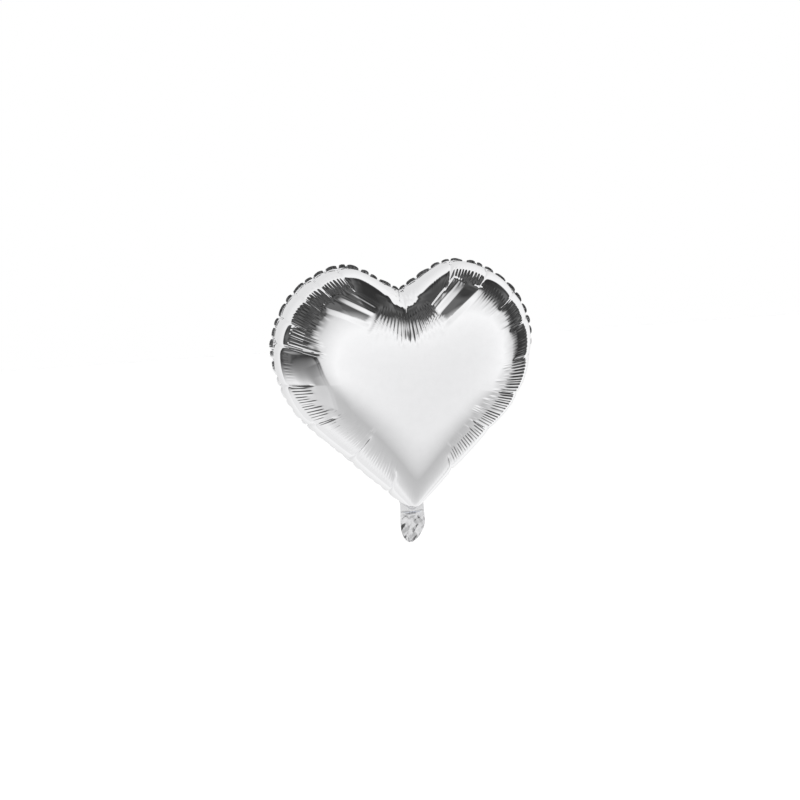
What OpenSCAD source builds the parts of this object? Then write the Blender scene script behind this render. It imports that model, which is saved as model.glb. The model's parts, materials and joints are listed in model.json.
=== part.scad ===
// Heart-shaped foil balloon, filled, with its self-sealing valve and its tail.
// Sizes are in millimetres. X runs across the heart, Y through it (the front
// faces -Y) and Z up. The origin is the crease where the ribbon is tied.

/* [Heart] */
// Width across both lobes, seam included
heart_w = 370; // [300:5:450]
// Height from the crease at the neck to the top of the lobes
heart_h = 354; // [290:2:430]
// Thickness through the middle, front to back
heart_t = 180; // [140:5:220]
// Angle of the straight sides from the upright
side_angle = 46.5; // [40:0.5:50]
// Rise of the outline from the notch towards the lobes
notch_angle = 31; // [20:1:40]
// Depth of the creases at the rim, as a share of the local depth
crease_depth = 0.05; // [0:0.01:0.1]

/* [Film and seam] */
// Thickness of the foil film
film_t = 0.05; // [0.03:0.01:0.1]
// Width of the heat seal round the heart
seam_w = 5; // [3:0.5:8]

/* [Neck and tail] */
// Width of the flat neck and of the tail
tail_w = 35; // [30:1:42]
// Length of the tail below the crease
tail_l = 41.5; // [35:0.5:52]
// Radius of the tail's bottom corners
tail_corner_r = 8; // [2:1:14]
// Width of the tail's side and end seals
tail_seal_w = 4; // [3:0.5:5]
// Gap between the neck's films and the tail's films at the crease
crease_gap = 0.6; // [0.4:0.1:1.2]

/* [Valve] */
// Length of the valve above the crease, inside the heart
valve_l = 88; // [60:1:110]
// Thickness of each clear valve film
valve_film_t = 0.03; // [0.02:0.01:0.05]
// Width of each side seal of the valve
valve_seal_w = 2; // [1:0.5:3]
// Thickness of the side seals, which is the gap between the valve films
valve_seal_t = 0.04; // [0.03:0.01:0.08]
// Length of the ink patch that keeps the valve open at the neck
ink_l = 12; // [6:1:20]
// Radius of the hole that takes the filling nozzle
port_r = 4; // [3:0.5:5]
// Height of the hole's centre above the bottom of the tail
port_z = 15; // [12:1:20]

/* [Hidden] */
// seam: half the sealed stack between the two foil films
seal_half = valve_film_t + valve_seal_t / 2;
foil_half = seal_half + film_t;
dome_h = heart_t / 2 - foil_half;
neck_half = tail_w / 2;
valve_half = neck_half - tail_seal_w - 0.5;
neck_z = crease_gap / 2;

// outline: a lobe arc, a tighter arc over the top, a wide arc down the flank
weld_half = heart_w / 2 - seam_w;
lobe_r = 0.628 * weld_half;
lobe_x = weld_half - lobe_r;
top_r = 0.33 * weld_half;
top_angle = 12;
top_x = lobe_x + (lobe_r - top_r) * sin(top_angle);
top_z = heart_h - seam_w - top_r;
lobe_z = top_z - (lobe_r - top_r) * cos(top_angle);
apex_z = 1.3;
flank_r = (lobe_z - apex_z - weld_half / tan(side_angle)) / tan(side_angle / 2);
flank_x = weld_half - flank_r;
flank_end = 90 + side_angle;
notch_x = top_x - top_r * sin(notch_angle);
notch_z = top_z + top_r * cos(notch_angle) - notch_x * tan(notch_angle);
tip_r = 10;
tip_z = apex_z + tip_r / sin(side_angle);
shoulder_x = neck_half - seam_w * cos(side_angle);

// mesh: points along each stretch of the half outline, rings, facets of a hole
notch_n = 4;
top_n = 6;
lobe_n = 14;
flank_n = 12;
side_n = 14;
ring_n = 12;
hub_z = apex_z + 0.56 * (heart_h - apex_z);
$fn = 64;

// ---- outline of the seam ----

// A point of the seam: [inner edge, outer edge], a = outward direction from upright
function seam_point(x, z, a) = [[x, z], [x + seam_w * sin(a), z + seam_w * cos(a)]];

function seam_arc(cx, cz, r, from, to, n) = [for (i = [0:n - 1])
    let (a = from + (to - from) * i / n) seam_point(cx + r * sin(a), cz + r * cos(a), a)];

flank_foot = [flank_x + flank_r * sin(flank_end), lobe_z + flank_r * cos(flank_end)];
side_foot = [shoulder_x, apex_z + shoulder_x / tan(side_angle)];
tip_side = [tip_r * cos(side_angle), tip_z - tip_r * sin(side_angle)];

// Right half, from the notch down to the tip
half_seam = concat(
    [[[0, notch_z], [0, notch_z + seam_w / cos(notch_angle)]]],
    [for (i = [1:notch_n - 1])
        seam_point(notch_x * i / notch_n, notch_z + notch_x * tan(notch_angle) * i / notch_n,
            -notch_angle)],
    seam_arc(top_x, top_z, top_r, -notch_angle, top_angle, top_n),
    seam_arc(lobe_x, lobe_z, lobe_r, top_angle, 90, lobe_n),
    seam_arc(flank_x, lobe_z, flank_r, 90, flank_end, flank_n),
    [for (i = [0:side_n])
        let (p = flank_foot + (side_foot - flank_foot) * i / side_n)
        seam_point(p[0], p[1], flank_end)],
    [[(side_foot + tip_side) / 2, [neck_half, (neck_z + side_foot[1]) / 3]],
     [tip_side, [neck_half, neck_z]],
     [[tip_side[0] / 2, tip_z - sqrt(tip_r * tip_r - pow(tip_side[0] / 2, 2))],
      [neck_half / 2, neck_z]],
     [[0, tip_z - tip_r], [0, neck_z]]]);

half_n = len(half_seam) - 1;
seam = concat(half_seam, [for (i = [half_n - 1:-1:1])
    [for (p = half_seam[i]) [-p[0], p[1]]]]);
seam_n = len(seam);
inner_edge = [for (s = seam) s[0]];
outer_edge = [for (s = seam) s[1]];

// ---- how far the gas lifts the film at a point of the heart ----

// Share of one straight stretch a-b of the seam in the field at p
function stretch_pull(p, a, b) =
    let (l = norm(b - a), t = (b - a) / l, d = cross(t, a - p), s0 = (a - p) * t, s1 = (b - p) * t)
    abs(d) < 1e-6 ? 0 : (s1 / norm(b - p) - s0 / norm(a - p)) / d;

function sum(v, i = 0, total = 0) = i == len(v) ? total : sum(v, i + 1, total + v[i]);

// A smoothed distance from p to the seam
function reach(p) = 2 / abs(sum([for (i = [0:seam_n - 1])
    stretch_pull(p, inner_edge[i], inner_edge[(i + 1) % seam_n])]));

function lift(p, full) = dome_h * sqrt(1 - pow(1 - min(1, reach(p) / full), 1.1));

// ---- one foil panel ----

// Crease pattern along the seam: every fourth point lies in a valley
function valley(i) = (1 - cos(90 * i)) / 2;

// Ring k of the dome, from the hub (0) to the seam (ring_n), for the right half
function half_ring(k, full) =
    let (rho = sin(90 * k / ring_n), hub = [0, hub_z])
    [for (i = [0:half_n])
        let (p = hub + (inner_edge[i] - hub) * rho,
            h = k == ring_n ? 0 : lift(p, full) * (1 - crease_depth * valley(i) * pow(rho, 8)))
        [p[0], -foil_half - h, p[1]]];

function whole_ring(half) = concat(half,
    [for (i = [half_n - 1:-1:1]) [-half[i][0], half[i][1], half[i][2]]]);

function unit(v) = v / norm(v);

// Step from point i of ring k to the film's inner face, film_t away from the facets there
function inner_step(rings, k, i) = let (
    p = rings[k][i],
    ahead = rings[k][(i + 1) % seam_n] - p,
    behind = rings[k][(i + seam_n - 1) % seam_n] - p,
    out = rings[k + 1][i] - p,
    in = rings[k - 1][i] - p,
    facets = [unit(cross(out, ahead)), unit(cross(behind, out)),
        unit(cross(in, behind)), unit(cross(ahead, in))],
    middle = unit(sum(facets, 0, [0, 0, 0])),
    slope = (middle * facets[0] + middle * facets[1] + middle * facets[2]
        + middle * facets[3]) / 4)
    middle * film_t / slope;

// Step from point i of the seam's inner edge into the heart
function seam_step(i) = let (
    t = inner_edge[(i + 1) % seam_n] - inner_edge[(i + seam_n - 1) % seam_n])
    unit([t[1], 0, -t[0]]) * film_t;

// Two triangles for each step between the closed loops that start at a and b
function band(a, b) = [for (i = [0:seam_n - 1])
    let (j = (i + 1) % seam_n)
    for (f = [[a + i, b + i, a + j], [a + j, b + i, b + j]]) f];

// The same for the inner face, cut along the other diagonal to lie behind the outer one
function inner_band(a, b) = [for (i = [0:seam_n - 1])
    let (j = (i + 1) % seam_n)
    for (f = [[a + i, b + j, a + j], [a + i, b + i, b + j]]) f];

function fan(hub, a) = [for (i = [0:seam_n - 1]) [hub, a + (i + 1) % seam_n, a + i]];

function flip(faces) = [for (f = faces) [f[2], f[1], f[0]]];

// Closed shell: the outer film face, the sealed flange and neck, the inner film face
module foil_panel() {
    full = max([for (t = [0.42:0.02:0.7]) reach([0, apex_z + t * (heart_h - apex_z)])]);
    rings = [for (k = [0:ring_n]) whole_ring(half_ring(k, full))];
    inner = [for (k = [1:ring_n - 1]) [for (i = [0:seam_n - 1])
        rings[k][i] + inner_step(rings, k, i)]];
    root = [for (i = [0:seam_n - 1])
        [inner_edge[i][0], -seal_half, inner_edge[i][1]] + seam_step(i)];
    rim_front = [for (p = outer_edge) [p[0], -foil_half, p[1]]];
    rim_back = [for (p = outer_edge) [p[0], -seal_half, p[1]]];
    hub = rings[0][0];
    loops = concat([for (k = [1:ring_n]) rings[k]], [rim_front, rim_back, root],
        [for (k = [ring_n - 2:-1:0]) inner[k]]);
    points = concat([hub, hub + [0, film_t, 0]], [for (l = loops) for (p = l) p]);
    last = len(loops) - 1;
    inner_from = ring_n + 2;
    polyhedron(points, concat(
        fan(1, 2 + last * seam_n),
        [for (k = [last - 1:-1:inner_from])
            for (f = inner_band(2 + k * seam_n, 2 + (k + 1) * seam_n)) f],
        [for (k = [inner_from - 1:-1:0]) for (f = band(2 + k * seam_n, 2 + (k + 1) * seam_n)) f],
        flip(fan(0, 2))));
}

// ---- flat pieces, drawn in X and Z and given a range of depth ----

module between(front, back) {
    translate([0, back, 0]) rotate([90, 0, 0]) linear_extrude(back - front) children();
}

module box_2d(half, bottom, top) {
    translate([-half, bottom]) square([2 * half, top - bottom]);
}

module tail_outline() {
    inner_half = neck_half - tail_corner_r;
    box_2d(neck_half, tail_corner_r - tail_l, -neck_z);
    box_2d(inner_half, -tail_l, -neck_z);
    for (side = [-1, 1]) translate([side * inner_half, tail_corner_r - tail_l])
        circle(tail_corner_r);
}

module port_2d() {
    translate([0, port_z - tail_l]) circle(port_r);
}

module tail_valve_2d() {
    box_2d(valve_half, tail_seal_w - tail_l, -neck_z);
}

// ---- pieces ----

module front_panel() {
    color([0.80, 0.81, 0.83]) foil_panel();
}

module back_panel() {
    color([0.80, 0.81, 0.83]) mirror([0, 1, 0]) foil_panel();
}

module edge_seal() {
    color([0.72, 0.73, 0.75]) between(-seal_half, seal_half) difference() {
        polygon(outer_edge);
        polygon(inner_edge);
        box_2d(valve_half, 0, hub_z);
    }
}

module valve_front_film() {
    color([0.9, 0.93, 0.95, 0.4]) between(-seal_half, -valve_seal_t / 2)
        box_2d(valve_half, neck_z, valve_l);
}

module valve_back_film() {
    color([0.9, 0.93, 0.95, 0.4]) between(valve_seal_t / 2, seal_half)
        box_2d(valve_half, neck_z, valve_l);
}

module valve_side_seals() {
    color([0.85, 0.88, 0.9]) between(-valve_seal_t / 2, valve_seal_t / 2) difference() {
        box_2d(valve_half, neck_z, valve_l);
        box_2d(valve_half - valve_seal_w, neck_z - 1, valve_l + 1);
    }
}

module valve_ink_patch() {
    color([0.25, 0.3, 0.5]) between(-valve_seal_t / 2, 0)
        box_2d(valve_half - valve_seal_w, neck_z, neck_z + ink_l);
}

module tail_front() {
    color([0.80, 0.81, 0.83]) between(-foil_half, -seal_half) tail_outline();
}

module tail_back() {
    color([0.80, 0.81, 0.83]) between(seal_half, foil_half) difference() {
        tail_outline();
        port_2d();
    }
}

module tail_seal() {
    color([0.72, 0.73, 0.75]) between(-seal_half, seal_half) difference() {
        tail_outline();
        tail_valve_2d();
    }
}

module tail_valve_front() {
    color([0.9, 0.93, 0.95, 0.4]) between(-seal_half, -valve_seal_t / 2) tail_valve_2d();
}

module tail_valve_back() {
    color([0.9, 0.93, 0.95, 0.4]) between(valve_seal_t / 2, seal_half) difference() {
        tail_valve_2d();
        port_2d();
    }
}

front_panel();
back_panel();
edge_seal();
valve_front_film();
valve_back_film();
valve_side_seals();
valve_ink_patch();
tail_front();
tail_back();
tail_seal();
tail_valve_front();
tail_valve_back();
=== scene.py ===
"""Heart-shaped foil balloon: puckered foil films, crumpled tail, clear valve, pale studio."""

import json
import math

import bpy
import numpy as np
from mathutils import Matrix, Vector


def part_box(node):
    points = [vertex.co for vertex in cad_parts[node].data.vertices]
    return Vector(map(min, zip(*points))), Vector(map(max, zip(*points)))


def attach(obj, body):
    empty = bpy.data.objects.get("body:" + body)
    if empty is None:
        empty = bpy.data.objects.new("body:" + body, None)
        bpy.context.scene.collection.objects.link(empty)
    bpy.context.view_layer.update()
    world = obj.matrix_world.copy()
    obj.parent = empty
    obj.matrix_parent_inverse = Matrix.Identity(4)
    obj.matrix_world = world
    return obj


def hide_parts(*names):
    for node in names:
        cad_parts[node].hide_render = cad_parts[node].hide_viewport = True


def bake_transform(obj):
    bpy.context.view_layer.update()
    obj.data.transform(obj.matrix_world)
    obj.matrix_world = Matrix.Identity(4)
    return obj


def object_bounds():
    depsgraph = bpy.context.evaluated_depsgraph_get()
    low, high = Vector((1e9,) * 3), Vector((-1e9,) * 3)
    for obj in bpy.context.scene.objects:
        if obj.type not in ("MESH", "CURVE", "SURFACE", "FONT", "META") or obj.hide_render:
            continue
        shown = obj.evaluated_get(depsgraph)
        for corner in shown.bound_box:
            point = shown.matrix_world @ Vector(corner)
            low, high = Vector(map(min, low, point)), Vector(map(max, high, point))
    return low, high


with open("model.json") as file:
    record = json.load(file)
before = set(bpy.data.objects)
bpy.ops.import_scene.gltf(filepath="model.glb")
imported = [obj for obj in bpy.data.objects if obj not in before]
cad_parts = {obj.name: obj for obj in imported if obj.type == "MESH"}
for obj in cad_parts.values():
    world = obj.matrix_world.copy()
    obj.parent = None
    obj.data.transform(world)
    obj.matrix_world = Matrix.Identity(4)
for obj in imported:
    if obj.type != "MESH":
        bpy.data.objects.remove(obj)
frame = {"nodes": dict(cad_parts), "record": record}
cad_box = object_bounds()

MM = 0.001  # every size below is in millimetres, and meshes are written in metres

# ---- sizes taken from the frame ----
panel_low, panel_high = (np.array(c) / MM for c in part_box("front_panel"))
tail_low, tail_high = (np.array(c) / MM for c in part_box("tail_front"))
PORT = next(m for m in frame["record"]["mounts"] if m["name"] == "inflation_port")
PORT_R = PORT["dims"]["r_mm"]
PORT_Z = PORT["pos_m"][2] / MM

SEAM_W = 5.0  # width of the heat seal
WELD_HALF = panel_high[0] - SEAM_W
HEART_TOP = panel_high[2]
DOME_H = -panel_low[1]
TAIL_HALF = tail_high[0]
TAIL_BOTTOM = tail_low[2]

# ---- the seam's outline, from the same arcs as the solid model ----
SIDE_ANGLE = math.radians(46.5)
NOTCH_ANGLE = math.radians(31)
TOP_ANGLE = math.radians(12)
LOBE_R = 0.628 * WELD_HALF
LOBE_X = WELD_HALF - LOBE_R
TOP_R = 0.33 * WELD_HALF
TOP_X = LOBE_X + (LOBE_R - TOP_R) * math.sin(TOP_ANGLE)
TOP_Z = HEART_TOP - SEAM_W - TOP_R
LOBE_Z = TOP_Z - (LOBE_R - TOP_R) * math.cos(TOP_ANGLE)
APEX_Z = 1.3
FLANK_R = (LOBE_Z - APEX_Z - WELD_HALF / math.tan(SIDE_ANGLE)) / math.tan(SIDE_ANGLE / 2)
FLANK_X = WELD_HALF - FLANK_R
FLANK_END = math.pi / 2 + SIDE_ANGLE
NOTCH_X = TOP_X - TOP_R * math.sin(NOTCH_ANGLE)
NOTCH_Z = TOP_Z + TOP_R * math.cos(NOTCH_ANGLE) - NOTCH_X * math.tan(NOTCH_ANGLE)
TIP_R = 10.0
TIP_Z = APEX_Z + TIP_R / math.sin(SIDE_ANGLE)
HUB = np.array([0.0, APEX_Z + 0.56 * (HEART_TOP - APEX_Z)])  # where every row of the dome ends
NOTCH_FADE = 7.0  # the seam's direction turns upright over this much of it, beside the notch

# ---- mesh ----
COLUMNS = 1680
HALVE_AT = (80, 106, 116)  # rows of the dome from which every second column is left out
COARSE_COLUMNS = COLUMNS // 6
PATH_STEPS = 220
DOME_FULLNESS = 1.1

# ---- puckers: facets between the main creases, from the notch down each side ----
# each facet: its length along the seam, the slope of its ribs, where the ribs start and
# end (measured from the seam in the flat outline), and how far its main crease runs in
RIGHT_FACETS = [
    (24, 0.00, 20, 60, 0),
    (58, 0.00, 12, 50, 46),
    (54, 0.75, 8, 27, 34),
    (49, 0.22, 18, 48, 40),
    (41, 0.55, 10, 44, 40),
    (53, 0.20, 10, 44, 36),
    (57, 0.66, 7, 42, 40),
    (66, 0.70, 7, 44, 40),
    (77, 0.70, 9, 36, 36),
    (81, 0.05, 12, 30, 0),
]
LEFT_FACETS = [
    (24, 0.00, 20, 60, 0),
    (70, 0.00, 12, 50, 36),
    (37, 0.75, 8, 27, 34),
    (30, 0.60, 8, 40, 44),
    (40, 0.45, 10, 42, 30),
    (37, 0.66, 16, 54, 60),
    (59, 0.10, 9, 16, 44),
    (68, 0.62, 10, 32, 44),
    (75, 0.42, 12, 46, 52),
    (73, 0.26, 12, 38, 40),
    (47, 0.03, 12, 30, 0),
]
RIB_PITCH = 4.8
RIB_DRIFT = 1.4
PILLOW = 0.016  # height of a facet's pillow at the rim, as a share of its length
PILLOW_REACH = 30.0
FLATNESS = 0.25  # how much of a facet's bulge is drawn flat, further in
FLAT_START, FLAT_RISE, FLAT_END = 30.0, 40.0, 88.0

# ---- main creases between the facets ----
CREASE_DEPTH, VALLEY_DEPTH, VALLEY_REACH = 1.8, 1.3, 7.0
CREASE_LEAN = 0.14
CREASE_FADE = 12.0

# ---- the sealed edge outside the seam ----
SCALLOP_PITCH = 17.0
SCALLOP_DEPTH, SCALLOP_SPREAD, SCALLOP_REACH = 2.6, 1.0, 7.5
FLANGE_W = 6.0
FLANGE_SHARES = (1.0, 0.85, 0.65, 0.45, 0.25)
FILM_GAP = 0.1  # from the seam's middle plane to either film

# ---- ribs that fan out below the notch, from a point above it ----
FAN_TOP = 347.0
FAN_PITCH = math.radians(3.7)
FAN_HALF_ANGLE = math.radians(35)
FAN_FADE = math.radians(3)
FAN_START, FAN_END = 24.0, 58.0
FAN_SLOPE = 0.62

# ---- the crease that drops from the notch ----
NOTCH_CREASE_END = 243.0
NOTCH_CREASE, NOTCH_VALLEY, NOTCH_VALLEY_REACH = 1.1, 3.4, 11.0
CRINKLES = 7
CRINKLE_HEIGHT, CRINKLE_REACH = 0.22, 13.0

# ---- folded strips beside the notch: outer line, inner line, then the strips between ----
# each strip: share of the width where it starts, peaks and ends, and its height
RIGHT_FOLD = ((29, 299), (65, 336), (51, 268), (111, 315),
              [(0.16, 0.24, 0.58, 3.0), (0.34, 0.37, 0.42, 0.35), (0.60, 0.95, 1.10, 2.2)])
LEFT_FOLD = ((-36, 300), (-80, 331), (-52, 274), (-118, 303),
             [(0.10, 0.14, 0.20, 0.5), (0.36, 0.44, 0.58, 1.1), (0.60, 0.95, 1.10, 1.8)])

# ---- neck and tail: one crumpled strip across the crease ----
TAIL_COLUMNS, TAIL_ROWS = 89, 150
# each fold: its direction in radians, its pitch and its height
TAIL_FOLDS = [(0.9, 21, 2.0), (-0.6, 16, 1.6), (2.1, 12, 1.0), (0.4, 8, 0.45)]
TAIL_FOLD_SHARE = 0.74
TAIL_CURL = 1.8
TIE_CREASE, TIE_CREASE_W = 1.9, 1.5
SEAL_COLUMNS, SEAL_ROWS = 9, 12  # width of the tail's sealed border, in columns and rows
VALVE_INSET = 10
BELOW_CREASE = 50  # the tail's row where its valve films start

# ---- the soft fold that bounds the flatter patch on the left ----
PATCH_FOLD = [(-137, 248), (-125, 228), (-120, 211), (-110, 188), (-104, 162), (-127, 144)]
PATCH_SLOPE, PATCH_REACH = 0.26, 24.0
PATCH_LINE, PATCH_LINE_W = 0.35, 1.2


def smooth_step(x):
    x = np.clip(x, 0.0, 1.0)
    return x * x * (3 - 2 * x)


def arc_points(cx, cz, r, start, end, step=0.8):
    count = max(int(abs(end - start) * r / step), 2)
    angles = np.linspace(start, end, count)
    return np.stack([cx + r * np.sin(angles), cz + r * np.cos(angles), angles], axis=1)


def line_points(a, b, angle, step=0.8):
    a, b = np.array(a), np.array(b)
    t = np.linspace(0, 1, max(int(np.linalg.norm(b - a) / step), 2))[:, None]
    return np.hstack([a + (b - a) * t, np.full((len(t), 1), angle)])


def half_outline():
    """Right half of the seam from the notch to the tip: x, z and outward angle from upright."""
    notch_foot = (NOTCH_X, NOTCH_Z + NOTCH_X * math.tan(NOTCH_ANGLE))
    flank_foot = (FLANK_X + FLANK_R * math.sin(FLANK_END), LOBE_Z + FLANK_R * math.cos(FLANK_END))
    tip_side = (TIP_R * math.cos(SIDE_ANGLE), TIP_Z - TIP_R * math.sin(SIDE_ANGLE))
    return np.vstack([
        line_points((0, NOTCH_Z), notch_foot, -NOTCH_ANGLE),
        arc_points(TOP_X, TOP_Z, TOP_R, -NOTCH_ANGLE, TOP_ANGLE),
        arc_points(LOBE_X, LOBE_Z, LOBE_R, TOP_ANGLE, math.pi / 2),
        arc_points(FLANK_X, LOBE_Z, FLANK_R, math.pi / 2, FLANK_END),
        line_points(flank_foot, tip_side, FLANK_END),
        arc_points(0, TIP_Z, TIP_R, FLANK_END, math.pi),
    ])


class Seam:
    """The seam sampled evenly, clockwise from the notch as seen from the front."""

    def __init__(self, count):
        half = half_outline()
        step = np.linalg.norm(np.diff(half[:, :2], axis=0), axis=1)
        along = np.concatenate([[0], np.cumsum(step)])
        self.half_length = along[-1]
        self.length = 2 * self.half_length
        self.s = np.arange(count) / count * self.length
        self.right = self.s <= self.half_length
        self.from_notch = np.where(self.right, self.s, self.length - self.s)
        side = np.where(self.right, 1.0, -1.0)
        near_notch = smooth_step(self.from_notch / NOTCH_FADE)
        self.x = side * np.interp(self.from_notch, along, half[:, 0])
        self.z = np.interp(self.from_notch, along, half[:, 1])
        self.angle = side * np.interp(self.from_notch, along, half[:, 2]) * near_notch
        self.out_x = np.sin(self.angle)
        self.out_z = np.cos(self.angle)


def reach(points, outline):
    """A smoothed distance from each point to the closed outline, as in the solid model."""
    a, b = outline, np.roll(outline, -1, axis=0)
    length = np.linalg.norm(b - a, axis=1)
    along = (b - a) / length[:, None]
    total = np.zeros(len(points))
    for start, end, t in zip(a, b, along):
        to_start, to_end = start - points, end - points
        off = t[0] * to_start[:, 1] - t[1] * to_start[:, 0]
        pull = (to_end @ t) / np.linalg.norm(to_end, axis=1) - (to_start @ t) / np.linalg.norm(
            to_start, axis=1
        )
        far = np.abs(off) > 1e-6
        total += np.where(far, pull / np.where(far, off, 1.0), 0.0)
    return 2 / np.abs(total)


def noise_1d(seed, knots):
    """A smooth seeded curve through `knots` values in -1..1, as a function of 0..1."""
    values = np.random.default_rng(seed).uniform(-1, 1, knots + 3)

    def curve(t):
        x = np.clip(t, 0, 1) * knots
        i = np.minimum(x.astype(int), knots - 1)
        f = smooth_step(x - i)
        return values[i] * (1 - f) + values[i + 1] * f

    return curve


def dome_paths(coarse):
    """From each coarse column of the seam to the hub: share of the way left, height, length."""
    outline = np.stack([coarse.x, coarse.z], axis=1)
    spine = np.array([[0, APEX_Z + t * (HEART_TOP - APEX_Z)] for t in np.arange(0.42, 0.7, 0.02)])
    full = reach(spine, outline).max()
    left = np.sin(np.linspace(math.pi / 2, 0, PATH_STEPS))
    flat = HUB + (outline[None] - HUB) * left[:, None, None]
    share = np.clip(reach(flat[1:].reshape(-1, 2), outline) / full, 0, 1)
    height = DOME_H * np.sqrt(1 - (1 - share) ** DOME_FULLNESS)
    lift = np.vstack([np.zeros((1, len(outline))), height.reshape(PATH_STEPS - 1, -1)])
    path = np.concatenate([flat, lift[..., None]], axis=2)
    step = np.linalg.norm(np.diff(path, axis=0), axis=2)
    run = np.vstack([np.zeros((1, len(outline))), np.cumsum(step, axis=0)])
    return left, lift, run


class Dome:
    """One foil film over the gas: rows from the seam to the hub, columns round the seam."""

    def __init__(self, seam, seed):
        self.seam = seam
        self.seed = seed
        coarse = Seam(COARSE_COLUMNS)
        left, lift, run = dome_paths(coarse)
        # rows at set distances from the seam, then at even shares of what is left
        near = np.concatenate([np.arange(0, 12, 0.7), np.arange(12, 72, 1.0), np.arange(72, 112, 1.6)])
        far = np.linspace(0, 1, 36)[1:]
        shape = (len(near) + len(far), COARSE_COLUMNS)
        left_rows, lift_rows, run_rows = np.zeros(shape), np.zeros(shape), np.zeros(shape)
        for c in range(COARSE_COLUMNS):
            wanted = np.concatenate([near, near[-1] + (run[-1, c] - near[-1]) * far])
            run_rows[:, c] = wanted
            left_rows[:, c] = np.interp(wanted, run[:, c], left)
            lift_rows[:, c] = np.interp(-left_rows[:, c], -left, lift[:, c])
        self.distance = self.spread(run_rows, coarse)
        left_all = self.spread(left_rows, coarse)
        x = HUB[0] + (seam.x[None] - HUB[0]) * left_all
        z = HUB[1] + (seam.z[None] - HUB[1]) * left_all
        self.base = np.stack([x, -self.spread(lift_rows, coarse), z], axis=2)
        self.normal = self.normals()

    def spread(self, rows, coarse):
        """Rows known on the coarse columns, at every column."""
        s = np.concatenate([coarse.s, [coarse.length]])
        return np.array([np.interp(self.seam.s, s, np.append(r, r[0])) for r in rows])

    def normals(self):
        """Outward directions of the smooth dome."""
        p = self.base
        around = np.roll(p, -1, axis=1) - np.roll(p, 1, axis=1)
        inward = np.gradient(p, axis=0)
        n = np.cross(around, inward)
        n /= np.maximum(np.linalg.norm(n, axis=2, keepdims=True), 1e-9)
        centre = p.mean(axis=(0, 1))
        if ((p[40] - centre) * n[40]).sum() < 0:
            n = -n
        n[0] = np.stack([self.seam.out_x, np.zeros(len(self.seam.s)), self.seam.out_z], axis=1)
        n[-1] = (0, -1, 0)
        return n

    def displaced(self):
        """The dome with its facets, ribs, folds and creases."""
        x, z = self.base[..., 0], self.base[..., 2]
        depth = np.hypot(x - x[0], z - z[0])
        rise = self.facet_rise(depth) + fan_rise(x, z, self.seed)
        rise += strip_rise(x, z, RIGHT_FOLD) + strip_rise(x, z, LEFT_FOLD)
        rise += patch_rise(x, z, depth) + notch_rise(x, z, self.seed)
        rise -= self.crease_depth(depth)
        rise *= smooth_step(self.distance / 4)
        rise -= recess(self.seam) * np.exp(-((self.distance / SCALLOP_REACH) ** 2))
        return self.base + self.normal * rise[..., None]

    def facet_rise(self, depth):
        """Pillows at the rim, flattened facets further in, and the ribs."""
        seam, g = self.seam, self.distance
        rise = np.zeros_like(g)
        for side, facets in ((True, RIGHT_FACETS), (False, LEFT_FACETS)):
            start = 0.0
            for k, (length, slope, begin, end, run) in enumerate(facets):
                seed = self.seed * 1000 + 40 * k + side
                here = (seam.right == side) & (seam.from_notch >= start)
                here &= seam.from_notch < start + length
                d = seam.from_notch[here] - start
                u = d / length
                turn = abs(seam.angle[here][0] - seam.angle[here][-1])
                pillow = PILLOW * length * (4 * u * (1 - u)) ** 0.8
                chord = FLATNESS * turn * length * u * (1 - u) * (run > 0)
                near = np.exp(-((g[:, here] / PILLOW_REACH) ** 2))
                band = smooth_step((g[:, here] - FLAT_START) / FLAT_RISE)
                band = band * np.exp(-((g[:, here] / FLAT_END) ** 4))
                c = (d + RIB_DRIFT * noise_1d(seed, 7)(u)) / RIB_PITCH
                inner = end * per_ridge(c, seed + 1, 0.82, 1.22)
                window = smooth_step((depth[:, here] - begin + 2) / 5)
                window = window * smooth_step((inner - depth[:, here]) / 14 + 0.3)
                height = slope * RIB_PITCH / math.pi * per_ridge(c, seed + 2, 0.55, 1.15)
                rise[:, here] += pillow * near - chord * band + height * ridge(c) * window
                start += length
        return rise

    def crease_depth(self, depth):
        """Main creases between the facets: a sharp line in a shallow valley."""
        seam = self.seam
        rng = np.random.default_rng(self.seed)
        total = np.zeros_like(depth)
        for side, facets in ((1, RIGHT_FACETS), (-1, LEFT_FACETS)):
            place = 0.0
            for length, _, _, _, run in facets[:-1]:
                place += length
                lean = CREASE_LEAN * (rng.random() - 0.5)
                sharp = 0.9 + 0.4 * rng.random()
                if run == 0:
                    continue
                off = np.where(seam.right == (side > 0), seam.from_notch - place, 99.0)
                off = np.abs(off[None] - lean * depth)
                shape = CREASE_DEPTH * np.exp(-off / sharp) + VALLEY_DEPTH * np.exp(-off / VALLEY_REACH)
                total += shape * smooth_step((run - depth) / CREASE_FADE)
        return total


def recess(seam):
    """How far the seam is drawn in, scallop by scallop."""
    size = SCALLOP_DEPTH + SCALLOP_SPREAD * noise_1d(11, 40)(seam.s / seam.length)
    return size * (1 - scallop(seam)) * smooth_step(seam.from_notch / 20)


def scallop(seam):
    """0 where the seam is pinched, 1 at the middle of each scallop."""
    t = seam.s / seam.length
    phase = seam.s / SCALLOP_PITCH + 0.35 * noise_1d(7, 60)(t)
    return np.abs(np.sin(math.pi * phase)) ** 0.45


def ridge(c):
    """Round ridges with sharp valleys between them, one for each whole number of c."""
    return np.abs(np.cos(math.pi * c))


def per_ridge(c, seed, low, high):
    """A seeded value for each ridge."""
    values = np.random.default_rng(seed).uniform(low, high, 512)
    return values[np.floor(c + 0.5).astype(int) % 512]


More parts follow.
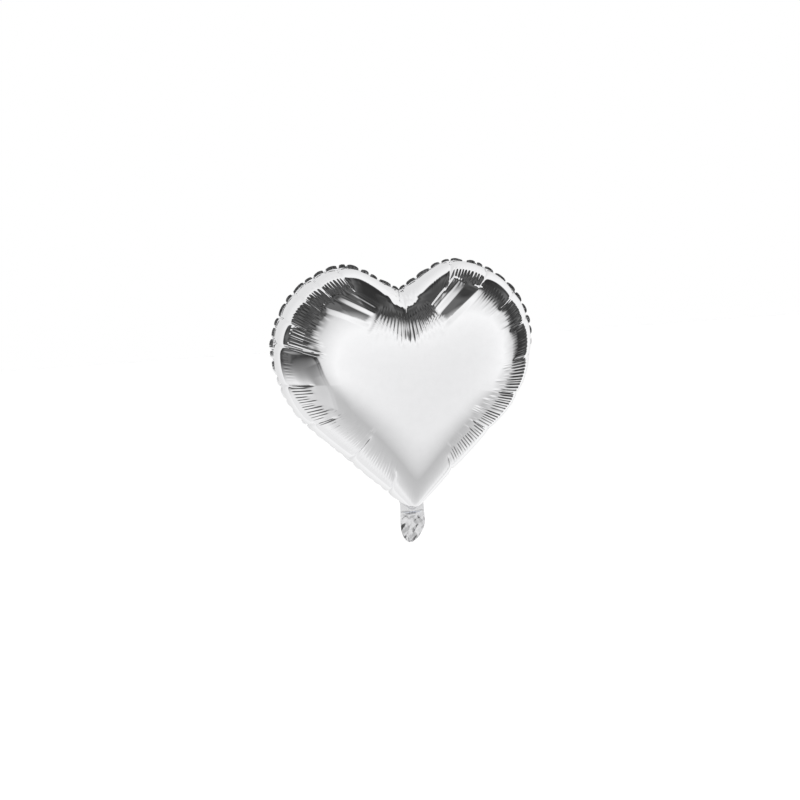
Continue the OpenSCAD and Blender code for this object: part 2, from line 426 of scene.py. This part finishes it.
def fan_rise(x, z, seed):
    """Ribs that fan out below the notch."""
    angle = np.arctan2(x, np.maximum(FAN_TOP - z, 1.0))
    far = np.hypot(x, FAN_TOP - z)
    below = np.abs(x) * math.sin(NOTCH_ANGLE) + (NOTCH_Z - z) * math.cos(NOTCH_ANGLE)
    c = angle / FAN_PITCH + 0.5
    end = (FAN_END + 0.22 * np.abs(x)) * per_ridge(c, seed, 0.96, 1.08)
    window = smooth_step((below - FAN_START) / 6) * smooth_step((end - below) / 12 + 0.3)
    window = window * smooth_step((FAN_HALF_ANGLE - np.abs(angle)) / FAN_FADE)
    height = FAN_SLOPE * FAN_PITCH * far / math.pi * per_ridge(c, seed + 1, 0.8, 1.1)
    return height * ridge(c) * window


def strip_rise(x, z, fold):
    """Folded strips that run side by side between two lines."""
    outer_from, outer_to, inner_from, inner_to, strips = fold

    def off_line(a, b):
        t = np.subtract(b, a) / np.linalg.norm(np.subtract(b, a))
        return (x - a[0]) * t[1] - (z - a[1]) * t[0]

    side = 1 if outer_to[0] > 0 else -1
    from_outer = side * off_line(outer_from, outer_to)
    from_inner = -side * off_line(inner_from, inner_to)
    total = from_outer + from_inner
    share = from_outer / np.where(np.abs(total) < 1, 1.0, total)
    share = np.where(total > 5, share, -1.0)
    start_line = side * off_line(inner_from, outer_from)
    end_line = -side * off_line(inner_to, outer_to)
    window = smooth_step(start_line / 6) * smooth_step(end_line / 6)
    rise = np.zeros_like(x)
    for start, peak, end, height in strips:
        up = np.clip((share - start) / (peak - start), 0, 1)
        down = np.clip((end - share) / (end - peak), 0, 1)
        rise += height * np.minimum(up, down)
    return rise * window


def patch_rise(x, z, depth):
    """A flatter patch at the left edge, inside a soft curved fold."""
    nearest = np.full(x.shape, 1e9)
    outward = np.zeros_like(x)
    for a, b in zip(PATCH_FOLD, PATCH_FOLD[1:]):
        t = np.subtract(b, a).astype(float)
        length = np.linalg.norm(t)
        t /= length
        along = np.clip((x - a[0]) * t[0] + (z - a[1]) * t[1], 0, length)
        off = np.hypot(x - a[0] - along * t[0], z - a[1] - along * t[1])
        sign = np.sign((x - a[0]) * t[1] - (z - a[1]) * t[0])
        outward = np.where(off < nearest, -sign, outward)
        nearest = np.minimum(off, nearest)
    inside = (outward < 0) & (z > 135) & (z < 252) & (x < -60)
    ends = smooth_step((z - 140) / 12) * smooth_step((254 - z) / 16) * smooth_step(depth / 14)
    dip = np.where(inside, PATCH_SLOPE * nearest * np.exp(-nearest / PATCH_REACH), 0.0)
    line = PATCH_LINE * np.exp(-((nearest / PATCH_LINE_W) ** 2))
    return -(dip + line) * ends * (x < -60)


def notch_rise(x, z, seed):
    """The crease that drops from the notch, and the crinkles at its top."""
    drop = smooth_step((NOTCH_Z - z) / 8) * smooth_step((z - NOTCH_CREASE_END) / 24)
    crease = NOTCH_CREASE * np.exp(-np.abs(x)) + NOTCH_VALLEY * np.exp(-np.abs(x) / NOTCH_VALLEY_REACH)
    rng = np.random.default_rng(seed)
    crinkle = np.zeros_like(x)
    for _ in range(CRINKLES):
        angle, pitch, phase = rng.uniform(0, 6.3), rng.uniform(3.5, 9), rng.uniform(0, 6.3)
        crinkle += fold_wave((x * math.cos(angle) + z * math.sin(angle)) / pitch + phase)
    near = np.exp(-((np.hypot(x, (z - NOTCH_Z) * 1.2) / CRINKLE_REACH) ** 2))
    return CRINKLE_HEIGHT * crinkle * near - crease * drop


def fold_wave(c):
    """Straight-sided folds, from -1 to 1, one for each whole number of c."""
    return 4 * np.abs(c - np.floor(c + 0.5)) - 1


def add_mesh(name, points, faces, material, smooth=True):
    """A new piece from points in millimetres."""
    mesh = bpy.data.meshes.new(name)
    mesh.from_pydata((np.asarray(points) * MM).tolist(), [], faces)
    mesh.update()
    mesh.polygons.foreach_set("use_smooth", [smooth] * len(mesh.polygons))
    mesh.materials.append(material)
    piece = bpy.data.objects.new(name, mesh)
    bpy.context.scene.collection.objects.link(piece)
    return piece


def thinned_rows(points, halve_at):
    """Rows of the dome with half the columns from each listed row on, and the faces between."""
    out, faces, start, step = [], [], 0, 1
    previous = None
    for r in range(len(points) - 1):
        if r in halve_at:
            step *= 2
        ring = points[r, ::step]
        first = start
        start += len(ring)
        out.append(ring)
        if previous is not None:
            p_first, p_count = previous
            n = len(ring)
            i = np.arange(n)
            j = (i + 1) % n
            if p_count == n:
                faces += np.stack([p_first + i, p_first + j, first + j, first + i], 1).tolist()
            else:
                fine = 2 * i
                mid, last = fine + 1, (fine + 2) % p_count
                faces += np.stack([p_first + fine, p_first + mid, first + i], 1).tolist()
                faces += np.stack([p_first + mid, first + j, first + i], 1).tolist()
                faces += np.stack([p_first + mid, p_first + last, first + j], 1).tolist()
        previous = (first, len(ring))
    hub = start
    out.append(points[-1, :1])
    first, n = previous
    i = np.arange(n)
    faces += np.stack([first + i, first + (i + 1) % n, np.full(n, hub)], 1).tolist()
    return np.vstack(out), faces


def flange_rows(seam, root, offset):
    """The sealed edge outside the seam: curled back, most of all at each pinch."""
    t = seam.s / seam.length
    lens = scallop(seam)
    low = smooth_step((seam.from_notch - 240) / 60)
    curl = np.radians(40 + 30 * low + 45 * (1 - lens) ** 2 + 5 * noise_1d(23, 70)(t))
    width = FLANGE_W * (0.80 + 0.12 * lens + 0.20 * noise_1d(29, 60)(t))
    crinkle = 0.22 * fold_wave(seam.s / 4.3 + 1.6 * noise_1d(31, 120)(t))
    side = np.where(seam.right, 1.0, -1.0)
    rows = []
    for share in FLANGE_SHARES:
        out = width * share * np.cos(curl) + offset * np.sin(curl)
        back = width * share * np.sin(curl) + offset * np.cos(curl) + crinkle * share
        row = root + np.stack([seam.out_x * out, back, seam.out_z * out], axis=1)
        row[:, 0] = side * np.maximum(side * row[:, 0], 0.0)
        rows.append(row)
    return np.array(rows)


def textured(name, colour, tint, roughness, metallic, grain, relief):
    """A material whose colour, roughness and surface vary with the film's own fine grain."""
    material = bpy.data.materials.new(name)
    material.use_nodes = True
    nodes, links = material.node_tree.nodes, material.node_tree.links
    shader = nodes["Principled BSDF"]
    shader.inputs["Metallic"].default_value = metallic
    where = nodes.new("ShaderNodeTexCoord")
    fine = nodes.new("ShaderNodeTexNoise")
    fine.inputs["Scale"].default_value = grain
    fine.inputs["Detail"].default_value = 4
    links.new(where.outputs["Object"], fine.inputs["Vector"])
    shade = nodes.new("ShaderNodeValToRGB")
    low, high = shade.color_ramp.elements
    low.position, high.position = 0.3, 0.7
    low.color = (*(c * (1 - tint) for c in colour), 1)
    high.color = (*colour, 1)
    links.new(fine.outputs["Fac"], shade.inputs["Fac"])
    links.new(shade.outputs["Color"], shader.inputs["Base Color"])
    rough = nodes.new("ShaderNodeMapRange")
    rough.inputs["To Min"].default_value = roughness * 0.6
    rough.inputs["To Max"].default_value = roughness * 1.4
    links.new(fine.outputs["Fac"], rough.inputs["Value"])
    links.new(rough.outputs["Result"], shader.inputs["Roughness"])
    bump = nodes.new("ShaderNodeBump")
    bump.inputs["Strength"].default_value = 0.5
    bump.inputs["Distance"].default_value = relief
    links.new(fine.outputs["Fac"], bump.inputs["Height"])
    links.new(bump.outputs["Normal"], shader.inputs["Normal"])
    return material, shader


def silver_foil():
    """Mirror-bright foil of the filled heart."""
    return textured("silver_foil", colour=(0.97, 0.97, 0.98), tint=0.02, roughness=0.05,
                    metallic=1.0, grain=90, relief=0.000004)[0]


def crumpled_foil():
    """Duller foil of the tail, which has been handled."""
    return textured("crumpled_foil", colour=(0.86, 0.86, 0.87), tint=0.10, roughness=0.27,
                    metallic=1.0, grain=160, relief=0.00003)[0]


def heat_seal():
    """Foil pressed matt by the sealing tool."""
    return textured("heat_seal", colour=(0.78, 0.79, 0.81), tint=0.12, roughness=0.28,
                    metallic=1.0, grain=500, relief=0.00003)[0]


def release_ink():
    """Blue ink printed between the valve films at the neck."""
    return textured("release_ink", colour=(0.25, 0.30, 0.50), tint=0.25, roughness=0.5,
                    metallic=0.0, grain=900, relief=0.00002)[0]


def valve_film():
    """Clear film of the valve."""
    material, shader = textured("valve_film", colour=(0.90, 0.93, 0.95), tint=0.06, roughness=0.18,
                                metallic=0.0, grain=240, relief=0.00004)
    shader.inputs["Alpha"].default_value = 0.4
    shader.inputs["IOR"].default_value = 1.45
    return material


def pale_floor():
    """Matt white floor, lit a little from within so that it stays as pale as the backdrop."""
    material, shader = textured("pale_floor", colour=(0.90, 0.90, 0.90), tint=0.01, roughness=0.8,
                                metallic=0.0, grain=3, relief=0.0002)
    shader.inputs["Emission Color"].default_value = (1, 1, 1, 1)
    shader.inputs["Emission Strength"].default_value = 0.60
    return material


def heart_film(name, seed, behind):
    """One foil film: its dome and its share of the sealed edge."""
    body = Dome(SEAM, seed).displaced()
    if behind:
        body = body * (1, -1, 1)
    offset = FILM_GAP if behind else -FILM_GAP
    body[:, :, 1] += offset
    root = body[0] * (1, 0, 1)
    points = np.concatenate([flange_rows(SEAM, root, offset), body])
    vertices, faces = thinned_rows(points, [len(FLANGE_SHARES) + r for r in HALVE_AT])
    if behind:
        faces = [f[::-1] for f in faces]
    return add_mesh(name, vertices, faces, FOIL)


def seam_bond():
    """The sealed layer between the two films, along the edge."""
    root = np.stack([SEAM.x, np.zeros(COLUMNS), SEAM.z], axis=1)
    outward = np.stack([SEAM.out_x, np.zeros(COLUMNS), SEAM.out_z], axis=1)
    root = root - outward * recess(SEAM)[:, None]
    front = flange_rows(SEAM, root, -FILM_GAP / 2)
    back = flange_rows(SEAM, root, FILM_GAP / 2)
    loops = np.concatenate([front, back[::-1]])[:, ::2]
    rows, count = loops.shape[:2]
    faces = []
    i = np.arange(count)
    j = (i + 1) % count
    for r in range(rows):
        p, q = r * count, ((r + 1) % rows) * count
        faces += np.stack([p + i, p + j, q + j, q + i], axis=1).tolist()
    return add_mesh("seam_bond", loops.reshape(-1, 3), faces, SEAL)


def neck_top(x):
    """Height of the seam above the neck, where the strip ends."""
    here = (np.abs(SEAM.x) < TAIL_HALF + 1) & (SEAM.z < 60)
    side, low = SEAM.x[here], SEAM.z[here]
    order = np.argsort(side)
    return np.interp(x, side[order], low[order])


def tail_grid():
    """Middle of the strip in rows from the seam to the tail's end, its fullness, and the neck."""
    across = np.linspace(-1, 1, TAIL_COLUMNS)[None]
    down = np.linspace(0, 1, TAIL_ROWS)[:, None]
    top = neck_top(across * TAIL_HALF) + 0.4
    z = top + (TAIL_BOTTOM - top) * down
    below = np.clip(z / TAIL_BOTTOM, 0, 1)
    narrow = np.interp(below, [0, 0.3, 0.6, 0.8, 0.93, 1], [0.95, 1, 0.9, 0.66, 0.42, 0.18])
    middle = np.interp(below, [0, 0.4, 0.7, 1], [0, -0.3, -2.4, -5.0])
    x = middle + TAIL_HALF * narrow * across
    fold = np.zeros_like(x)
    for angle, pitch, height in TAIL_FOLDS:
        fold += height * fold_wave((x * math.cos(angle) + z * math.sin(angle)) / pitch)
    away = smooth_step(np.abs(z) / 5)
    y = TAIL_FOLD_SHARE * fold * away * (0.8 + 0.2 * below)
    y += TAIL_CURL * below * np.sin(across * 4.0 + 1.0)
    y += TIE_CREASE * np.exp(-((z / TIE_CREASE_W) ** 2)) * np.cos(across * 1.2)
    full = (0.25 + 0.7 * (1 - across ** 4)) * np.ones_like(z)
    neck = smooth_step((z - 1) / 3)
    return x, y, z, full, neck


def tail_layer(share):
    """One layer of the strip, at a share of its fullness: -1 front foil, 1 back foil."""
    x, y, z, full, neck = tail_grid()
    flat = y * (1 - neck) + share * (full + 0.3 * neck)
    return np.stack([x, flat, z], axis=2)


def strip_faces(rows, columns):
    """Quads of an open grid."""
    r, c = np.meshgrid(np.arange(rows - 1), np.arange(columns - 1), indexing="ij")
    a = (r * columns + c).ravel()
    return np.stack([a, a + columns, a + columns + 1, a + 1], axis=1)


def cut_port(points, faces):
    """Leaves out the faces over the port, and moves the ring around it onto the circle."""
    x, z = points[:, 0], points[:, 2] - PORT_Z
    far = np.hypot(x, z)
    keep = (far[faces] >= PORT_R).any(axis=1)
    edge_faces = faces[keep][(far[faces[keep]] < PORT_R).any(axis=1)]
    ring = np.unique(edge_faces[far[edge_faces] < PORT_R])
    points[ring, 0] *= PORT_R / far[ring]
    points[ring, 2] = PORT_Z + z[ring] * PORT_R / far[ring]
    used = np.unique(faces[keep])
    renumber = np.zeros(len(points), int)
    renumber[used] = np.arange(len(used))
    return points[used], renumber[faces[keep]]


def strip_piece(name, share, material, flip, port=False, inset=0, from_row=0):
    """One film of the strip, with or without the filling hole."""
    grid = tail_layer(share)[from_row:, inset:TAIL_COLUMNS - inset]
    rows, columns = grid.shape[:2]
    points, faces = grid.reshape(-1, 3), strip_faces(rows, columns)
    if port:
        points, faces = cut_port(points.copy(), faces)
    faces = [f[::-1] for f in faces.tolist()] if flip else faces.tolist()
    piece = add_mesh(name, points, faces, material)
    return piece


def side_seal():
    """The sealed border of the tail: a thin band along its sides and end."""
    front, back = tail_layer(-0.55), tail_layer(0.55)
    right = TAIL_COLUMNS - SEAL_COLUMNS
    left_bar = slice(None), slice(0, SEAL_COLUMNS)
    right_bar = slice(None), slice(right, TAIL_COLUMNS)
    end_bar = slice(-SEAL_ROWS, None), slice(SEAL_COLUMNS - 1, right + 1)
    bars = [(front[bar], back[bar]) for bar in (left_bar, right_bar, end_bar)]
    vertices, faces = [], []
    for f, b in bars:
        rows, columns = f.shape[:2]
        first = sum(len(v) for v in vertices)
        sheet = strip_faces(rows, columns)
        count = rows * columns
        vertices += [f.reshape(-1, 3), b.reshape(-1, 3)]
        faces += (sheet + first).tolist() + (sheet[:, ::-1] + first + count).tolist()
        rim = np.concatenate([np.arange(columns), np.arange(1, rows) * columns + columns - 1,
                              (rows - 1) * columns + np.arange(columns - 2, -1, -1),
                              np.arange(rows - 2, 0, -1) * columns]) + first
        after = np.roll(rim, -1)
        faces += np.stack([rim, after, after + count, rim + count], axis=1).tolist()
    piece = add_mesh("side_seal", np.vstack(vertices), faces, SEAL)
    return piece


FOIL = silver_foil()
TAIL_FOIL = crumpled_foil()
SEAL = heat_seal()
INK = release_ink()
CLEAR_FILM = valve_film()
SEAM = Seam(COLUMNS)

for name, seed, behind, node in (("front_foil", 3, False, "front_panel"),
                                 ("back_foil", 4, True, "back_panel")):
    film = heart_film(name, seed, behind)
    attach(film, "envelope")
    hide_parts(node)
bond = seam_bond()
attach(bond, "envelope")
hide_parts("edge_seal")

tail_pieces = (
    (strip_piece("tail_front_foil", -1, TAIL_FOIL, flip=False), "tail_front"),
    (strip_piece("tail_back_foil", 1, TAIL_FOIL, flip=True, port=True), "tail_back"),
    (side_seal(), "tail_seal"),
    (strip_piece("tail_valve_front_film", -0.3, CLEAR_FILM, flip=False, inset=VALVE_INSET,
                 from_row=BELOW_CREASE), "tail_valve_front"),
    (strip_piece("tail_valve_back_film", 0.3, CLEAR_FILM, flip=True, port=True, inset=VALVE_INSET,
                 from_row=BELOW_CREASE), "tail_valve_back"),
)
for piece, node in tail_pieces:
    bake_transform(piece)
    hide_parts(node)

for node, material in (("valve_front_film", CLEAR_FILM), ("valve_back_film", CLEAR_FILM),
                       ("valve_side_seals", CLEAR_FILM), ("valve_ink_patch", INK)):
    for place in frame["nodes"][node].material_slots:
        place.material = material

# ---- studio ----
CENTRE = (Vector(cad_box[0]) + Vector(cad_box[1])) / 2
AZIMUTH, ELEVATION, ROLL = math.radians(-7), math.radians(7), math.radians(3.5)
DISTANCE = 3.2
OBJECT_SHARE = 0.33125  # of the picture's width
SIDE_SHIFT = 0.0076  # metres that the heart stands right of the picture's middle
DROP = 0.0036  # metres that the heart stands below the picture's middle
WINDOW = Vector((0.30, -0.93, -0.24)).normalized()  # towards the middle of the white window
PAPER = Vector((-0.10, 0.97, 0.25))  # towards the white paper behind, which reaches up high
UPWARDS = Vector((0.12, 0, 1))  # a little less so on the left, where more of the floor shows
# brightness of what the foil mirrors, by place: 0 away from the window, 1 at its middle
WALLS_AND_WINDOW = [(0.0, 0.05), (0.40, 0.03), (0.56, 0.05), (0.67, 0.03),
                    (0.77, 0.70), (0.88, 0.98), (1.0, 0.84)]
FLOOR_GREYS = [(0.0, 0.80), (0.30, 0.84), (0.44, 0.90), (0.54, 0.72),
               (0.70, 0.60), (0.84, 0.52), (0.97, 0.84)]
PAPER_WHITES = [(0.06, 0.78), (0.22, 0.94), (0.40, 0.97)]
FLOOR_DROP = 0.9  # metres from the balloon's lowest point to the floor
FLOOR_HALF = 12.0  # metres
LAMP_OFFSET = Vector((1.6, -2.6, 2.2))  # metres from the balloon's middle
LAMP_SIZE = 2.5
LAMP_POWER = 120


def ramp_of(nodes, links, source, stops):
    """A grey ramp over -1..1 of a value: each stop is a place in 0..1 and its brightness."""
    spread = nodes.new("ShaderNodeMapRange")
    spread.inputs["From Min"].default_value = -1
    spread.inputs["From Max"].default_value = 1
    links.new(source, spread.inputs["Value"])
    ramp = nodes.new("ShaderNodeValToRGB")
    elements = ramp.color_ramp.elements
    elements.remove(elements[-1])
    elements[0].position, value = stops[0]
    elements[0].color = (value, value, value, 1)
    for place, value in stops[1:]:
        elements.new(place).color = (value, value, value, 1)
    links.new(spread.outputs["Result"], ramp.inputs["Fac"])
    return ramp.outputs["Color"]


def along(nodes, links, source, direction):
    """How far a direction points along another."""
    dot = nodes.new("ShaderNodeVectorMath")
    dot.operation = "DOT_PRODUCT"
    dot.inputs[1].default_value = direction
    links.new(source, dot.inputs[0])
    return dot.outputs["Value"]


def soft_mask(nodes, links, source, start, end):
    """0 below start, 1 above end, with a soft change between."""
    mask = nodes.new("ShaderNodeMapRange")
    mask.interpolation_type = "SMOOTHSTEP"
    mask.inputs["From Min"].default_value = start
    mask.inputs["From Max"].default_value = end
    links.new(source, mask.inputs["Value"])
    return mask.outputs["Result"]


def mixed(nodes, links, share, first, second, blend="MIX"):
    """Two colours mixed by a share, or blended in full where the share is None."""
    mix = nodes.new("ShaderNodeMix")
    mix.data_type = "RGBA"
    mix.blend_type = blend
    mix.inputs["Factor"].default_value = 1
    if share:
        links.new(share, mix.inputs["Factor"])
    links.new(first, mix.inputs["A"])
    links.new(second, mix.inputs["B"])
    return mix.outputs["Result"]


def add_world():
    """A white window in front, dark studio walls round it, and white paper behind.

    The backdrop itself is plain white from every side: only the foil shows the walls.
    """
    world = bpy.data.worlds.new("studio")
    bpy.context.scene.world = world
    world.use_nodes = True
    nodes, links = world.node_tree.nodes, world.node_tree.links
    where = nodes.new("ShaderNodeTexCoord").outputs["Generated"]
    to_window = along(nodes, links, where, WINDOW)
    upper = ramp_of(nodes, links, to_window, WALLS_AND_WINDOW)
    lower = ramp_of(nodes, links, to_window, FLOOR_GREYS)
    backdrop = ramp_of(nodes, links, to_window, [(0.0, 1.0), (1.0, 1.0)])
    white = ramp_of(nodes, links, to_window, PAPER_WHITES)
    paper = soft_mask(nodes, links, along(nodes, links, where, PAPER), 0.43, 0.48)
    raised = soft_mask(nodes, links, along(nodes, links, where, UPWARDS), -0.58, -0.20)
    sides = mixed(nodes, links, raised, lower, upper)
    cloudy = nodes.new("ShaderNodeTexNoise")
    cloudy.inputs["Scale"].default_value = 2.4
    cloudy.inputs["Detail"].default_value = 2
    links.new(where, cloudy.inputs["Vector"])
    walls = ramp_of(nodes, links, cloudy.outputs["Fac"], [(0.72, 0.03), (0.82, 0.14)])
    sides = mixed(nodes, links, None, sides, walls, "LIGHTEN")
    reflected = mixed(nodes, links, paper, sides, white)
    seen = nodes.new("ShaderNodeLightPath").outputs["Is Camera Ray"]
    links.new(mixed(nodes, links, seen, reflected, backdrop), nodes["Background"].inputs["Color"])


def add_floor():
    """A plain pale floor far below the balloon, which its mirror foil doesn't show."""
    h, z = FLOOR_HALF / MM, (cad_box[0][2] - FLOOR_DROP) / MM
    floor = add_mesh("floor", [(-h, -h, z), (h, -h, z), (h, h, z), (-h, h, z)], [(0, 1, 2, 3)],
                     pale_floor(), smooth=False)
    floor.visible_glossy = False


def add_light():
    """A large soft lamp above and to the right of the camera."""
    data = bpy.data.lights.new("soft_lamp", "AREA")
    data.shape = "DISK"
    data.size = LAMP_SIZE
    data.energy = LAMP_POWER
    lamp = bpy.data.objects.new("soft_lamp", data)
    bpy.context.scene.collection.objects.link(lamp)
    lamp.location = CENTRE + LAMP_OFFSET
    lamp.rotation_euler = (CENTRE - lamp.location).to_track_quat("-Z", "Y").to_euler()
    lamp.visible_glossy = False


def add_camera():
    """The camera at the photograph's viewing angle."""
    data = bpy.data.cameras.new("camera")
    camera = bpy.data.objects.new("camera", data)
    bpy.context.scene.collection.objects.link(camera)
    bpy.context.scene.camera = camera
    back = Vector((
        math.sin(AZIMUTH) * math.cos(ELEVATION),
        -math.cos(AZIMUTH) * math.cos(ELEVATION),
        math.sin(ELEVATION),
    ))
    width = (cad_box[1][0] - cad_box[0][0]) / OBJECT_SHARE
    data.sensor_width = 36
    data.lens = data.sensor_width * DISTANCE / width
    aim = (-back).to_track_quat("-Z", "Y").to_matrix()
    shift = aim.col[1] * DROP - aim.col[0] * SIDE_SHIFT
    camera.location = CENTRE + back * DISTANCE + shift
    camera.rotation_euler = (aim @ Matrix.Rotation(-ROLL, 3, "Z")).to_euler()


add_world()
add_floor()
add_light()
add_camera()
bpy.context.scene.view_settings.view_transform = "Standard"
